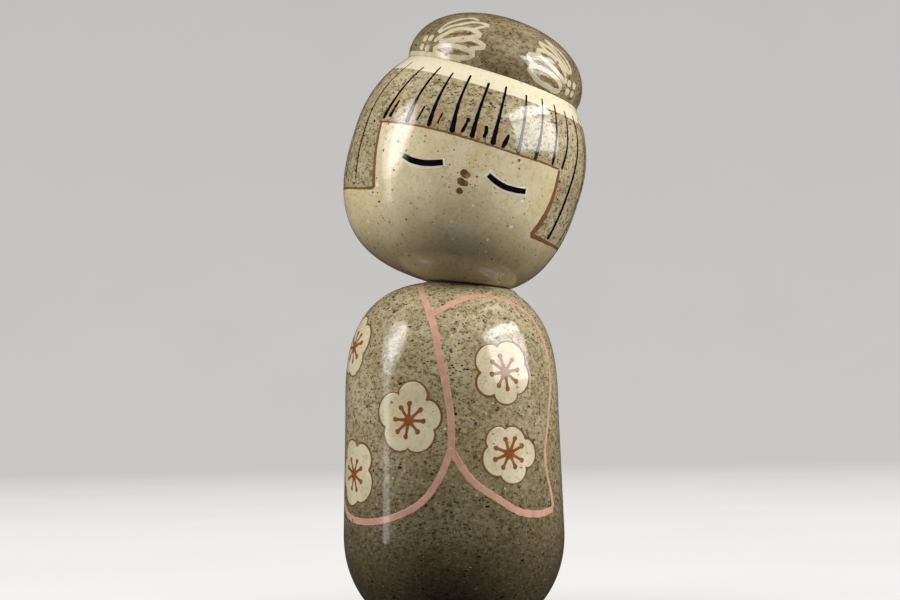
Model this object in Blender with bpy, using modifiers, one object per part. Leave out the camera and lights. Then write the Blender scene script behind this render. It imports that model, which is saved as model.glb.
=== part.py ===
"""A turned wooden kokeshi doll: body, leaning head, topknot bun, and the two pegs that hold them together.

Frame: metres, +Z up, the face looks along -Y, the head leans towards +X, and the origin is the centre of
the flat foot. The head turns on the neck peg, which stands square to a slanted seat on the body's crown.
"""

import math

import bmesh
import bpy
from mathutils import Matrix, Vector

MM = 0.001

# Body: a tapered barrel between two super-elliptical ends, with a flat base.
BODY_UPPER_RADIUS = 31.9 * MM
BODY_LOWER_RADIUS = 33.0 * MM
SHOULDER_Z = 60.8 * MM
CROWN_DEPTH = 38.6 * MM
CROWN_POWER = 2.75
FOOT_WIDEST_Z = 23.9 * MM
FOOT_DEPTH = 31.6 * MM
FOOT_POWER = 2.14
FOOT_CHAMFER = 0.5 * MM

# Seat: a flat sawn across the crown, leaning to +X, with a low bare boss that the head turns on.
SEAT_CENTRE = Vector((6.1 * MM, 0.0, 97.5 * MM))
SEAT_LEAN = math.radians(6.4)
BOSS_RADIUS = 12.5 * MM
BOSS_HEIGHT = 0.4 * MM
BOSS_ROOT = 1.0 * MM
SEAT_GAP = 0.3 * MM

# Head: two super-elliptical halves that meet at the widest ring. Heights are along the head's own axis.
HEAD_RADIUS = 35.3 * MM
HEAD_LEAN_ON_PEG = math.radians(12.0)
HEAD_WIDEST_U = 6.0 * MM
HEAD_UPPER_DEPTH = 35.3 * MM
HEAD_UPPER_POWER = 2.1
HEAD_LOWER_DEPTH = 38.2 * MM
HEAD_LOWER_POWER = 2.76
HEAD_TOP_U = 30.4 * MM
HEAD_FOOT_POINT = Vector((11.8 * MM, 0.0, -29.5 * MM))

# Bun: one super-elliptical dome on the head's own axis, tucked in at its foot.
BUN_RADIUS = 26.9 * MM
BUN_TUCK_RADIUS = 26.5 * MM
BUN_TUCK_HEIGHT = 2.1 * MM
BUN_DOME_DEPTH = 17.6 * MM
BUN_POWER = 2.14
BUN_GAP = 0.3 * MM

# Pegs and the blind holes that they stand in.
NECK_PEG_RADIUS = 5.0 * MM
NECK_PEG_IN_BODY = 18.0 * MM
NECK_PEG_IN_HEAD = 16.0 * MM
BUN_PEG_RADIUS = 4.0 * MM
BUN_PEG_IN_HEAD = 11.0 * MM
BUN_PEG_IN_BUN = 10.0 * MM
PEG_CHAMFER = 0.8 * MM
PEG_CLEARANCE = 0.25 * MM
HOLE_END_ROOM = 1.0 * MM

TURN_STEPS = 60
PEG_STEPS = 40
CURVE_POINTS = 13
MERGE = 0.00001
CUTTER_SIZE = 0.2

# Wood and paint: colour (linear), roughness.
GROUND = ((0.30, 0.25, 0.15, 1.0), 0.35)
FACE_CREAM = ((0.60, 0.52, 0.34, 1.0), 0.35)
HAIR = ((0.24, 0.20, 0.12, 1.0), 0.35)
BARE_WOOD = ((0.55, 0.40, 0.24, 1.0), 0.60)


def clear_scene():
    for obj in list(bpy.data.objects):
        bpy.data.objects.remove(obj, do_unlink=True)


def collection_named(name, shown=True):
    made = bpy.data.collections.new(name)
    bpy.context.scene.collection.children.link(made)
    made.hide_render = not shown
    return made


def material_named(name, finish):
    colour, roughness = finish
    material = bpy.data.materials.new(name)
    material.use_nodes = True
    shader = material.node_tree.nodes["Principled BSDF"]
    shader.inputs["Base Color"].default_value = colour
    shader.inputs["Roughness"].default_value = roughness
    shader.inputs["Metallic"].default_value = 0.0
    return material


def super_ellipse(across, depth, power, start_share, end_share, points):
    """Points (offset from the axis, rise) on |x/across|^p + |z/depth|^p = 1, between two shares of its quarter
    turn, where share 0 is the widest point and share 1 is the pole."""
    outline = []
    for i in range(points):
        angle = math.pi / 2 * (start_share + (end_share - start_share) * i / (points - 1))
        x = across * math.cos(angle) ** (2 / power) if angle < math.pi / 2 - 1e-9 else 0.0
        z = depth * math.sin(angle) ** (2 / power) if angle > 1e-9 else 0.0
        outline.append((x, z))
    return outline


def share_at_rise(rise, depth, power):
    """The share of the quarter turn at which that super-ellipse has risen by rise."""
    return math.asin((rise / depth) ** (power / 2)) / (math.pi / 2)


def turned(name, outline, collection, steps):
    """A solid of revolution about local Z. outline runs down the outer side, from the top pole to the bottom one."""
    mesh = bpy.data.meshes.new(name)
    points = [(x, 0.0, z) for x, z in outline]
    mesh.from_pydata(points, [(i, i + 1) for i in range(len(points) - 1)], [])
    obj = bpy.data.objects.new(name, mesh)
    collection.objects.link(obj)
    screw = obj.modifiers.new("Turned", "SCREW")
    screw.axis = "Z"
    screw.steps = steps
    screw.render_steps = steps
    screw.use_merge_vertices = True
    screw.merge_threshold = MERGE
    return obj


def baked(obj):
    """The object's modifiers applied to its own mesh, and its round faces shaded smooth."""
    evaluated = obj.evaluated_get(bpy.context.evaluated_depsgraph_get())
    mesh = bpy.data.meshes.new_from_object(evaluated)
    obj.modifiers.clear()
    obj.data = mesh
    work = bmesh.new()
    work.from_mesh(mesh)
    bmesh.ops.remove_doubles(work, verts=work.verts, dist=MERGE)
    work.to_mesh(mesh)
    work.free()
    mesh.shade_smooth()
    mesh.set_sharp_from_angle(angle=math.radians(35))
    return obj


def boolean(target, other, operation):
    modifier = target.modifiers.new(operation.title(), "BOOLEAN")
    modifier.operation = operation
    modifier.solver = "EXACT"
    modifier.object = other


def hide(obj):
    obj.hide_render = True
    obj.display_type = "WIRE"


def cylinder(name, radius, low, high, place, collection, steps=PEG_STEPS):
    """A cylinder about the local Z of place, from height low to height high, as a hidden cutter or joiner."""
    outline = [(0.0, high), (radius, high), (radius, low), (0.0, low)]
    obj = turned(name, outline, collection, steps)
    obj.matrix_world = place
    hide(obj)
    return obj


def half_space(name, place, above, collection):
    """A large block whose near face is the local XY plane of place, on its +Z side if above, else on its -Z side."""
    mesh = bpy.data.meshes.new(name)
    work = bmesh.new()
    rise = CUTTER_SIZE / 2 if above else -CUTTER_SIZE / 2
    bmesh.ops.create_cube(work, size=CUTTER_SIZE, matrix=Matrix.Translation((0, 0, rise)))
    work.to_mesh(mesh)
    work.free()
    obj = bpy.data.objects.new(name, mesh)
    collection.objects.link(obj)
    obj.matrix_world = place
    hide(obj)
    return obj


def peg(name, radius, low, high, collection):
    """A dowel along local Z with chamfered ends."""
    outline = [
        (0.0, high),
        (radius - PEG_CHAMFER, high),
        (radius, high - PEG_CHAMFER),
        (radius, low + PEG_CHAMFER),
        (radius - PEG_CHAMFER, low),
        (0.0, low),
    ]
    return turned(name, outline, collection, PEG_STEPS)


def body_outline():
    """Domed crown, tapered side, rounded foot with a small chamfer, flat base."""
    crown = super_ellipse(BODY_UPPER_RADIUS, CROWN_DEPTH, CROWN_POWER, 1.0, 0.0, CURVE_POINTS + 6)
    outline = [(x, SHOULDER_Z + z) for x, z in crown]
    base_share = share_at_rise(FOOT_WIDEST_Z - FOOT_CHAMFER, FOOT_DEPTH, FOOT_POWER)
    foot = super_ellipse(BODY_LOWER_RADIUS, FOOT_DEPTH, FOOT_POWER, 0.0, base_share, CURVE_POINTS)
    outline += [(x, FOOT_WIDEST_Z - z) for x, z in foot]
    base_radius = outline[-1][0] - FOOT_CHAMFER
    outline += [(base_radius, 0.0), (0.0, 0.0)]
    return outline


def head_outline():
    """Flat top under the bun, upper half, widest ring, lower half down to the pole."""
    top_share = share_at_rise(HEAD_TOP_U - HEAD_WIDEST_U, HEAD_UPPER_DEPTH, HEAD_UPPER_POWER)
    upper = super_ellipse(HEAD_RADIUS, HEAD_UPPER_DEPTH, HEAD_UPPER_POWER, top_share, 0.0, CURVE_POINTS)
    lower = super_ellipse(HEAD_RADIUS, HEAD_LOWER_DEPTH, HEAD_LOWER_POWER, 0.0, 1.0, CURVE_POINTS + 6)
    outline = [(0.0, HEAD_TOP_U)]
    outline += [(x, HEAD_WIDEST_U + z) for x, z in upper]
    outline += [(x, HEAD_WIDEST_U - z) for x, z in lower[1:]]
    return outline


def bun_outline():
    """A dome, its tucked-in foot and a flat underside that stands just clear of the head."""
    foot = HEAD_TOP_U + BUN_GAP
    dome = super_ellipse(BUN_RADIUS, BUN_DOME_DEPTH, BUN_POWER, 1.0, 0.0, CURVE_POINTS + 2)
    outline = [(x, foot + BUN_TUCK_HEIGHT + z) for x, z in dome]
    outline += [(BUN_TUCK_RADIUS, foot), (0.0, foot)]
    return outline


def main():
    clear_scene()
    doll = collection_named("kokeshi_doll")
    cutters = collection_named("cutters", shown=False)

    # Places: the seat's frame has its Z along the neck peg, and the head's frame leans further on it.
    seat_place = Matrix.Translation(SEAT_CENTRE) @ Matrix.Rotation(SEAT_LEAN, 4, "Y")
    foot_up = BOSS_HEIGHT + SEAT_GAP
    head_in_seat = (
        Matrix.Translation((0, 0, foot_up))
        @ Matrix.Rotation(HEAD_LEAN_ON_PEG, 4, "Y")
        @ Matrix.Translation(-HEAD_FOOT_POINT)
    )
    head_place = seat_place @ head_in_seat

    neck_joint = bpy.data.objects.new("neck_joint", None)
    doll.objects.link(neck_joint)
    neck_joint.matrix_world = seat_place

    # Body: crown sawn flat, boss joined on, then the peg's blind hole bored through both.
    body = turned("body", body_outline(), doll, TURN_STEPS)
    boolean(body, half_space("crown_cut", seat_place, True, cutters), "DIFFERENCE")
    boss = cylinder("boss_join", BOSS_RADIUS, -BOSS_ROOT, BOSS_HEIGHT, seat_place, cutters, TURN_STEPS)
    boolean(body, boss, "UNION")
    hole = NECK_PEG_RADIUS + PEG_CLEARANCE
    depth = NECK_PEG_IN_BODY + HOLE_END_ROOM
    bore = cylinder("body_bore", hole, -depth, 2 * foot_up, seat_place, cutters)
    boolean(body, bore, "DIFFERENCE")
    body.data.materials.append(material_named("body_ground", GROUND))

    # Head: the turned ball, sawn at the foot, bored for the neck peg and for the bun's peg.
    head = turned("head", head_outline(), doll, TURN_STEPS)
    head.parent = neck_joint
    head.matrix_local = head_in_seat
    foot_plane = seat_place @ Matrix.Translation((0, 0, foot_up))
    boolean(head, half_space("foot_cut", foot_plane, False, cutters), "DIFFERENCE")
    depth = NECK_PEG_IN_HEAD + HOLE_END_ROOM
    bore = cylinder("head_bore", hole, -foot_up, foot_up + depth, seat_place, cutters)
    boolean(head, bore, "DIFFERENCE")
    bun_hole = BUN_PEG_RADIUS + PEG_CLEARANCE
    low = HEAD_TOP_U - BUN_PEG_IN_HEAD - HOLE_END_ROOM
    bore = cylinder("crown_bore", bun_hole, low, HEAD_TOP_U + BUN_TUCK_HEIGHT, head_place, cutters)
    boolean(head, bore, "DIFFERENCE")
    head.data.materials.append(material_named("face_cream", FACE_CREAM))

    # Bun, with a blind hole in its underside.
    bun = turned("bun", bun_outline(), doll, TURN_STEPS)
    bun.parent = neck_joint
    bun.matrix_local = head_in_seat
    high = HEAD_TOP_U + BUN_GAP + BUN_PEG_IN_BUN + HOLE_END_ROOM
    bore = cylinder("bun_bore", bun_hole, HEAD_TOP_U - BUN_TUCK_HEIGHT, high, head_place, cutters)
    boolean(bun, bore, "DIFFERENCE")
    bun.data.materials.append(material_named("bun_ground", HAIR))

    # Pegs: the neck peg is glued in the head and turns in the body; the bun peg is glued at both ends.
    neck_peg = peg("neck_peg", NECK_PEG_RADIUS, -NECK_PEG_IN_BODY, foot_up + NECK_PEG_IN_HEAD, doll)
    neck_peg.parent = neck_joint
    neck_peg.data.materials.append(material_named("peg_wood", BARE_WOOD))
    bun_peg = peg("bun_peg", BUN_PEG_RADIUS, HEAD_TOP_U - BUN_PEG_IN_HEAD, HEAD_TOP_U + BUN_GAP + BUN_PEG_IN_BUN, doll)
    bun_peg.parent = neck_joint
    bun_peg.matrix_local = head_in_seat
    bun_peg.data.materials.append(neck_peg.data.materials[0])

    bpy.context.view_layer.update()
    for obj in (body, head, bun, neck_peg, bun_peg):
        baked(obj)


main()
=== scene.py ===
import math

import bpy
import numpy as np
from mathutils import Matrix


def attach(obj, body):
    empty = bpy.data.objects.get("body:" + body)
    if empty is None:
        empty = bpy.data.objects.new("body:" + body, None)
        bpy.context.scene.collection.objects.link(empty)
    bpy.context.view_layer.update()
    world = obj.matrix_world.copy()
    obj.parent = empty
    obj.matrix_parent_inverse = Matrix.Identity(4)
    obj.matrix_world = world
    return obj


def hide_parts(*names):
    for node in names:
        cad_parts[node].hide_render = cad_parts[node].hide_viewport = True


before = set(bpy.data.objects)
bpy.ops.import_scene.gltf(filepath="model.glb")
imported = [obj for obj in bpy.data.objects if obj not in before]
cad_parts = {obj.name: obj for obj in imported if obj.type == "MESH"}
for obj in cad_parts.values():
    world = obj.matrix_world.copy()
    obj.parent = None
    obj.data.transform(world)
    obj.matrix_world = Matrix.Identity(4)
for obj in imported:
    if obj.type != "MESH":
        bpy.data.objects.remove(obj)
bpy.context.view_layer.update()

MM = 0.001

# ---------- the turned shapes, in millimetres

BODY_UPPER_RADIUS = 31.9
BODY_LOWER_RADIUS = 33.0
SHOULDER_Z = 60.8
CROWN_DEPTH = 38.6
CROWN_POWER = 2.75
FOOT_WIDEST_Z = 23.9
FOOT_DEPTH = 31.6
FOOT_POWER = 2.14
FOOT_CHAMFER = 0.5

SEAT_CENTRE = np.array([6.1, 0.0, 97.5])
SEAT_LEAN = math.radians(6.4)
BOSS_RADIUS = 12.5
BOSS_HEIGHT = 0.4
BOSS_ROOT = 1.0
SEAT_GAP = 0.3
BORE_RADIUS = 5.25
BORE_DEPTH = 19.0

HEAD_RADIUS = 35.3
HEAD_LEAN_ON_PEG = math.radians(12.0)
HEAD_WIDEST = 6.0
HEAD_UPPER_DEPTH = 35.3
HEAD_UPPER_POWER = 2.1
HEAD_LOWER_DEPTH = 38.2
HEAD_LOWER_POWER = 2.76
HEAD_TOP = 30.4
HEAD_FOOT_POINT = np.array([11.8, 0.0, -29.5])

BUN_RADIUS = 26.9
BUN_TUCK_RADIUS = 26.5
BUN_DOME_DEPTH = 17.6
BUN_POWER = 2.14
BUN_WIDEST = 32.8

AROUND = 320
column = np.arange(AROUND) * 2 * math.pi / AROUND
circle = np.stack([np.sin(column), -np.cos(column), 0 * column], axis=1)

# The wall of the body stops a little outside the first of the rings that close over the top.
WALL_TOP_RADIUS = 21.5
CLOSING_RADIUS = 21.2
SEAT_FILLET = 2.2
FOOT_EASING = 0.0004

# A film of paint: how far its top stands proud, and how far its edge and underside are sunk.
FILM_TOP = 0.03
FILM_RIM = 0.02
FILM_ROOT = 0.12

LACQUER_IOR = 1.8


def lean(angle):
    """Turn about the Y axis that carries +Z towards +X by the angle."""
    c, s = math.cos(angle), math.sin(angle)
    return np.array([[c, 0, s], [0, 1, 0], [-s, 0, c]])


def rounded(radius, depth, power, first, last, count):
    """Quarter of a squared-off ellipse, from angle first to angle last: radius times the cosine and
    depth times the sine of the angle, each raised to 2 / power."""
    angle = np.linspace(first, last, count)
    across = radius * np.abs(np.cos(angle)) ** (2 / power)
    along = depth * np.sign(np.sin(angle)) * np.abs(np.sin(angle)) ** (2 / power)
    return np.stack([across, along], axis=1)


class Turned:
    """A turned solid: a profile of radius against height, carried round the local Z axis, then leaned
    and set in its place. Places on it are an azimuth in degrees, 0 at the front and growing towards
    +X, and a distance along the profile from its lowest point."""

    def __init__(self, profile, turn, origin):
        self.radius, self.height = profile.T
        self.arc = np.r_[0, np.cumsum(np.hypot(np.diff(self.radius), np.diff(self.height)))]
        slope = np.gradient(profile, self.arc, axis=0)
        self.out = slope[:, 1]
        self.up = -slope[:, 0]
        self.turn = turn
        self.origin = origin

    def arc_at(self, height):
        return np.interp(height, self.height, self.arc)

    def radius_at(self, arc):
        return np.interp(arc, self.arc, self.radius)

    def height_at(self, arc):
        return np.interp(arc, self.arc, self.height)

    def local(self, azimuth, arc, lift=0.0):
        """Radius and height read off the profile at the arc, moved out along the profile's normal by
        the lift, then swung round to the azimuth."""
        angle = np.radians(azimuth)
        reach = self.radius_at(arc) + lift * np.interp(arc, self.arc, self.out)
        level = self.height_at(arc) + lift * np.interp(arc, self.arc, self.up)
        return np.stack([reach * np.sin(angle), -reach * np.cos(angle), level + 0 * angle], axis=-1)

    def world(self, local):
        return local @ self.turn.T + self.origin

    def place(self, azimuth, arc, lift=0.0):
        return self.world(self.local(azimuth, arc, lift))

    def wall(self, arcs):
        """Rings of local points at the arcs, with a point at each of the columns."""
        azimuth = np.degrees(column)
        return self.local(azimuth[None, :] + 0 * arcs[:, None], arcs[:, None] + 0 * azimuth)


HALF_PI = math.pi / 2
seat_turn = lean(SEAT_LEAN)
head_turn = seat_turn @ lean(HEAD_LEAN_ON_PEG)
head_origin = SEAT_CENTRE + seat_turn @ np.array([0, 0, BOSS_HEIGHT + SEAT_GAP])
head_origin = head_origin - head_turn @ HEAD_FOOT_POINT

foot_angle = math.asin(((FOOT_WIDEST_Z - FOOT_CHAMFER) / FOOT_DEPTH) ** (FOOT_POWER / 2))
body_foot = rounded(BODY_LOWER_RADIUS, FOOT_DEPTH, FOOT_POWER, -foot_angle, 0, 400)
body_foot = body_foot + [0, FOOT_WIDEST_Z]
body_waist = np.linspace((BODY_LOWER_RADIUS, FOOT_WIDEST_Z), (BODY_UPPER_RADIUS, SHOULDER_Z), 100)
body_crown = rounded(BODY_UPPER_RADIUS, CROWN_DEPTH, CROWN_POWER, 0, HALF_PI, 600)
body_crown = body_crown + [0, SHOULDER_Z]
body_form = Turned(
    np.vstack([body_foot[:-1], body_waist[:-1], body_crown]), np.eye(3), np.zeros(3)
)

head_low = rounded(HEAD_RADIUS, HEAD_LOWER_DEPTH, HEAD_LOWER_POWER, -HALF_PI, 0, 600)
head_high = rounded(HEAD_RADIUS, HEAD_UPPER_DEPTH, HEAD_UPPER_POWER, 0, HALF_PI, 600)
head_form = Turned(
    np.vstack([head_low[:-1], head_high]) + [0, HEAD_WIDEST], head_turn, head_origin
)

bun_tuck = np.linspace((BUN_TUCK_RADIUS, HEAD_TOP - 0.1), (BUN_RADIUS, BUN_WIDEST), 30)
bun_dome = rounded(BUN_RADIUS, BUN_DOME_DEPTH, BUN_POWER, 0, HALF_PI, 500) + [0, BUN_WIDEST]
bun_form = Turned(np.vstack([bun_tuck[:-1], bun_dome]), head_turn, head_origin)

# ---------- meshes


def shell(grid, loop=False):
    """Points and faces of a closed surface from a grid whose columns run round and close on
    themselves. The rows close on themselves too when loop is set, and otherwise each end row closes
    in a fan on its own middle. The faces are turned to point outwards, by the sign of the volume."""
    rows, columns = grid.shape[:2]
    index = np.arange(rows * columns).reshape(rows, columns)
    low = index if loop else index[:-1]
    high = np.roll(index, -1, axis=0) if loop else index[1:]
    quads = np.stack([low, np.roll(low, -1, 1), np.roll(high, -1, 1), high], -1).reshape(-1, 4)
    points = grid.reshape(-1, 3)
    fans = np.zeros((0, 3), int)
    if not loop:
        middles = grid[[0, -1]].mean(axis=1)
        points = np.vstack([points, middles])
        first, last = index[0], index[-1]
        start = np.full(columns, rows * columns)
        fans = np.vstack(
            [
                np.stack([start, np.roll(first, -1), first], -1),
                np.stack([start + 1, last, np.roll(last, -1)], -1),
            ]
        )
    triangles = np.vstack([quads[:, [0, 1, 2]], quads[:, [0, 2, 3]], fans])
    corners = points[triangles] - points.mean(axis=0)
    if np.linalg.det(corners).sum() < 0:
        quads, fans = quads[:, ::-1], fans[:, ::-1]
    return points, quads, fans


def piece(name, shells, body, material, replaces=()):
    """One named mesh from several closed shells, points in millimetres."""
    points, faces, count = [], [], 0
    for more, quads, fans in shells:
        points.append(more)
        faces.extend((quads + count).tolist())
        faces.extend((fans + count).tolist())
        count += len(more)
    mesh = bpy.data.meshes.new(name)
    mesh.from_pydata((np.vstack(points) * MM).tolist(), [], faces)
    mesh.polygons.foreach_set("use_smooth", np.ones(len(mesh.polygons), bool))
    mesh.materials.append(material)
    mesh.update()
    made = bpy.data.objects.new(name, mesh)
    bpy.context.scene.collection.objects.link(made)
    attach(made, body)
    if replaces:
        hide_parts(*replaces)
    return made


def curve_through(points, count, closed=False):
    """Smooth curve through the points: a cubic between each two, whose slopes are the central
    differences of the neighbours, sampled at even steps of the points' spacing."""
    points = np.asarray(points, float)
    if closed:
        points = np.vstack([points[-1:], points, points[:2]])
    knots = np.r_[0, np.cumsum(np.hypot(*np.diff(points[:, :2], axis=0).T))]
    slopes = np.gradient(points, knots, axis=0)
    first, last = (1, len(knots) - 2) if closed else (0, len(knots) - 1)
    t = np.linspace(knots[first], knots[last], count, endpoint=not closed)
    i = np.clip(np.searchsorted(knots, t, side="right") - 1, 0, len(knots) - 2)
    span = (knots[i + 1] - knots[i])[:, None]
    f = (t - knots[i])[:, None] / span
    return (
        points[i] * (1 + 2 * f) * (1 - f) ** 2
        + points[i + 1] * (3 - 2 * f) * f**2
        + slopes[i] * span * f * (1 - f) ** 2
        - slopes[i + 1] * span * f**2 * (1 - f)
    )


def ribbon(form, path, widths, closed=False, lift=0.0, round_ends=True, wander=0.0, seed=0.0):
    """A brush stroke on a turned form. The path's places are azimuth and height, made into a smooth
    curve of azimuth and arc; the stroke runs half its width to each side, square to the path, with
    its top a little proud in the middle and its edges and its underside sunk. Round ends narrow it
    as a half circle does. A sum of three sines of the length makes the width wander."""
    path = np.asarray(path, float)
    arcs = form.arc_at(path[:, 1])
    reach = form.radius_at(arcs)
    scale = np.radians(1) * reach.mean()
    control = np.stack([path[:, 0] * scale, arcs, np.broadcast_to(widths, len(path))], axis=1)
    spread = np.hypot(*np.diff(control[:, :2], axis=0).T).sum()
    count = int(np.clip(spread / 0.35, 24, 700))
    curve = curve_through(control, count, closed)
    azimuth, arc, width = curve[:, 0] / scale, curve[:, 1], curve[:, 2]
    local = np.radians(1) * form.radius_at(arc)
    if closed:
        side = np.roll(curve, -1, 0) - np.roll(curve, 1, 0)
    else:
        side = np.gradient(curve, axis=0)
    along_az, along_arc = side[:, 0] / scale * local, side[:, 1]
    length = np.hypot(along_az, along_arc) + 1e-9
    across_az, across_arc = -along_arc / length, along_az / length
    travelled = np.cumsum(np.hypot(along_az, along_arc))
    shake = (
        np.sin(travelled * 1.7 + seed)
        + 0.6 * np.sin(travelled * 3.9 + 2.1 * seed)
        + 0.4 * np.sin(travelled * 8.3 + 3.3 * seed)
    )
    width = width * (1 + wander * shake)
    if round_ends and not closed:
        run = travelled - travelled[0]
        total = run[-1]
        near = np.minimum(run, total - run) / np.maximum(width / 2, 0.05)
        width = width * np.sqrt(np.clip(1 - (1 - np.clip(near, 0, 1)) ** 2, 0.0004, 1))
    share = np.array([-1, -0.96, -0.88, -0.35, 0.35, 0.88, 0.96, 1, 0.8, 0.3, -0.3, -0.8])
    level = np.full(12, lift + FILM_TOP)
    level[[0, 7]] = lift - FILM_RIM
    level[8:] = -FILM_ROOT
    offset = width[:, None] / 2 * share
    grid_az = azimuth[:, None] + offset * (across_az / local)[:, None]
    grid_arc = arc[:, None] + offset * across_arc[:, None]
    return shell(form.place(grid_az, grid_arc, np.broadcast_to(level, grid_az.shape)), closed)


def strokes(form, rows, wander, lift=0.0, first_seed=0):
    """A ribbon for each row of a path and its widths."""
    return [
        ribbon(form, path, widths, lift=lift, wander=wander, seed=number + first_seed)
        for number, (path, widths) in enumerate(rows)
    ]


def pad(form, azimuth, height, outline, lift=0.0, turn=0.0):
    """A flat dab of paint: its outline is a radius for each direction, in steps from 0 to 360
    degrees; rings at even shares of that radius run out from the middle over the top, which stands
    a little proud, and back in below the surface."""
    direction = np.radians(np.arange(len(outline)) * 360 / len(outline) + turn)
    share = np.r_[np.linspace(0.04, 0.94, 11), 0.985, 1, 0.9, 0.5]
    level = np.r_[np.full(12, lift + FILM_TOP), lift - FILM_RIM, -FILM_ROOT, -FILM_ROOT]
    reach = share[:, None] * np.asarray(outline)[None, :]
    arc = form.arc_at(height) + reach * np.sin(direction)
    swing = np.degrees(reach * np.cos(direction) / form.radius_at(arc))
    return shell(form.place(azimuth + swing, arc, np.broadcast_to(level[:, None], arc.shape)))


# ---------- shader tools


def shade(red, green, blue):
    """Display colour, 0 to 255, as the linear colour that a shader takes."""
    c = np.array([red, green, blue]) / 255
    linear = np.where(c <= 0.04045, c / 12.92, ((c + 0.055) / 1.055) ** 2.4)
    return (*linear.tolist(), 1.0)


class Wire:
    """A shader socket that takes part in plain arithmetic: each operator adds one Math node."""

    def __init__(self, tree, socket):
        self.tree = tree
        self.socket = socket

    def node(self, kind, settings, inputs, output=0):
        """Adds a shader node of that kind: its settings, then each socket's value or link."""
        made = self.tree.nodes.new("ShaderNode" + kind)
        for key, value in settings.items():
            setattr(made, key, value)
        for key, value in inputs.items():
            if isinstance(value, Wire):
                self.tree.links.new(value.socket, made.inputs[key])
            else:
                made.inputs[key].default_value = value
        return Wire(self.tree, made.outputs[output])

    def math(self, operation, first, second):
        return self.node("Math", {"operation": operation}, {0: first, 1: second})

    def __add__(self, other):
        return self.math("ADD", self, other)

    def __radd__(self, other):
        return self.math("ADD", other, self)

    def __sub__(self, other):
        return self.math("SUBTRACT", self, other)

    def __rsub__(self, other):
        return self.math("SUBTRACT", other, self)

    def __mul__(self, other):
        return self.math("MULTIPLY", self, other)

    def __rmul__(self, other):
        return self.math("MULTIPLY", other, self)


def step(value, low, high):
    """0 at low, 1 at high, eased between."""
    return value.node(
        "MapRange",
        {"interpolation_type": "SMOOTHSTEP"},
        {"Value": value, "From Min": low, "From Max": high},
    )


def blend(share, under, over):
    """The under colour where share is 0 and the over colour where it is 1."""
    return share.node("Mix", {"data_type": "RGBA"}, {0: share, 6: under, 7: over}, 2)


def grain(place, size, detail=2.0, roughness=0.55):
    """Cloudy noise from 0 to 1 whose lumps are about size across."""
    return place.node(
        "TexNoise",
        {},
        {"Vector": place, "Scale": 1 / size, "Detail": detail, "Roughness": roughness},
    )


def wandering(place, size, reach):
    """The place, pushed about by up to reach with noise of the given size."""
    noise = place.node(
        "TexNoise", {}, {"Vector": place, "Scale": 1 / size, "Detail": 2.0}, 1
    )
    centred = place.node(
        "VectorMath", {"operation": "SUBTRACT"}, {0: noise, 1: (0.5, 0.5, 0.5)}
    )
    return place.node(
        "VectorMath",
        {"operation": "MULTIPLY_ADD"},
        {0: centred, 1: (2 * reach, 2 * reach, 2 * reach), 2: place},
    )


def spots(place, cell, radius, share, edge=0.12):
    """Scattered spots: in the given share of cells, where the distance to the cell's own point is
    less than a radius that differs from cell to cell. 1 inside, 0 outside."""
    cells = {"Vector": place, "Scale": 1 / cell}
    distance = place.node("TexVoronoi", {}, cells)
    colour = Wire(place.tree, distance.socket.node.outputs["Color"])
    parts = place.node("SeparateColor", {}, {0: colour})
    second = Wire(place.tree, parts.socket.node.outputs[1])
    chosen = parts.math("LESS_THAN", parts, share)
    inside = radius * (0.45 + 0.55 * second) - distance * cell
    return step(inside, 0.0, edge) * chosen


def sized(place, across, along):
    """The place, stretched: the pattern comes out across times wider and along times taller."""
    factors = (1 / across, 1 / across, 1 / along)
    return place.node("VectorMath", {"operation": "MULTIPLY"}, {0: place, 1: factors})


def finish(name, paint):
    """A material: paint(place) gives colour, roughness and height in millimetres, place being the
    object's own coordinates in millimetres."""
    material = bpy.data.materials.new(name)
    material.use_nodes = True
    tree = material.node_tree
    shader = tree.nodes["Principled BSDF"]
    start = tree.nodes.new("ShaderNodeTexCoord")
    metres = Wire(tree, start.outputs["Object"])
    place = metres.node(
        "VectorMath", {"operation": "SCALE"}, {0: metres, "Scale": 1000.0}
    )
    colour, rough, height = paint(place)
    bump = place.node("Bump", {}, {"Height": height, "Distance": MM, "Strength": 1.0})
    tree.links.new(colour.socket, shader.inputs["Base Color"])
    tree.links.new(rough.socket, shader.inputs["Roughness"])
    tree.links.new(bump.socket, shader.inputs["Normal"])
    shader.inputs["IOR"].default_value = LACQUER_IOR
    return material


# ---------- the finishes


def part_of(place, axis):
    """One coordinate of the place."""
    split = place.node("SeparateXYZ", {}, {0: place})
    return Wire(place.tree, split.socket.node.outputs[axis])


def lacquer(place):
    """The clear gloss over everything: a slow swell, brush-wide ripples and fine orange peel."""
    height = 0.100 * grain(sized(place, 1.8, 0.9), 4.6, 1.0)
    height = height + 0.014 * grain(sized(place, 2.0, 0.8), 1.4, 2.0)
    height = height + 0.0020 * grain(place, 0.38, 2.0)
    rough = 0.09 + 0.14 * step(grain(place, 2.2, 3.0), 0.45, 0.75)
    return rough, height


def scars(place):
    """Pits that go through paint and ground alike: big ragged ones, and pinholes."""
    ragged = wandering(place, 1.1, 0.45)
    big = spots(ragged, 6.0, 0.72, 0.45, 0.2)
    small = spots(wandering(sized(place, 1.25, 0.9), 0.8, 0.25), 2.9, 0.50, 0.48, 0.15)
    return big, small


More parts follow.
